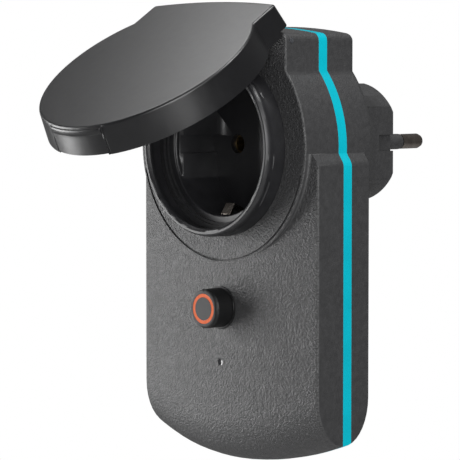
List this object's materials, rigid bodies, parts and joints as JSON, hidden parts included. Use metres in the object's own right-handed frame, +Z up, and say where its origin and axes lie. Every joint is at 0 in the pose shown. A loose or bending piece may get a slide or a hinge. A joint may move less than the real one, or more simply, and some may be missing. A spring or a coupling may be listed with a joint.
{
  "type": "smart plug",
  "caption": "Outdoor remote-switched adapter plug with a rear two-pin plug, a front socket recess under a hinged lid, and a push button with a light ring.",
  "frame": {"origin": "middle of the plug's contact face, on the line between the two pins, where it meets a wall socket's floor", "axes": "+Y along the pins into the wall, +Z up, +X to the right as the user sees the front"},
  "size_m": [0.0772, 0.1418, 0.1426],
  "materials": {
    "shell": "fine leather grain, satin",
    "lid_plastic": "satin",
    "band_plastic": "satin",
    "black_plastic": "satin",
    "button_plastic": "gloss",
    "ring_plastic": "translucent satin",
    "seal_rubber": "matte",
    "nickel": "nickel plated",
    "brass": "stamped",
    "steel": "zinc plated",
    "board_laminate": "solder mask",
    "component_plastic": "moulded",
    "component_yellow": "moulded",
    "can_metal": "sleeved can",
    "light_guide": "frosted clear"
  },
  "bodies": {
    "housing": {"front_shell": "shell", "rear_shell": "shell", "trim_band": "band_plastic", "housing_seal": "seal_rubber", "housing_screws": "steel", "socket_insert": "black_plastic", "collar_seal": "seal_rubber", "contact_left": "brass", "contact_right": "brass", "earth_clip": "nickel", "plug_insert": "shell", "pin_left": "nickel", "pin_right": "nickel", "earth_strap": "nickel", "earth_tube": "nickel", "line_in_strap": "brass", "line_out_strap": "brass", "neutral_strap": "brass", "hinge_pin": "steel", "button_bezel": "button_plastic", "tact_switch": "button_plastic", "led_lens": "light_guide", "status_led": "light_guide", "circuit_board": "board_laminate", "board_screws": "steel", "relay": "component_plastic", "transformer": "component_yellow", "bulk_capacitor": "can_metal", "film_capacitor": "component_yellow", "radio_module": "can_metal"},
    "lid": {"lid": "lid_plastic", "lid_seal": "seal_rubber"},
    "button": {"button_cap": "button_plastic", "button_ring": "ring_plastic", "button_seal": "seal_rubber", "switch_plunger": "component_yellow"}
  },
  "joints": [
    {"name": "lid_hinge", "type": "hinge", "parent": "housing", "child": "lid", "pos_m": [0, -0.0588, 0.0326], "axis": [-1, 0, 0], "range_deg": [-57.8, 27]},
    {"name": "button_press", "type": "slide", "parent": "housing", "child": "button", "axis": [0, 1, 0], "range_m": [0, 0.0006], "stiffness_N_per_m": 2500}
  ]
}
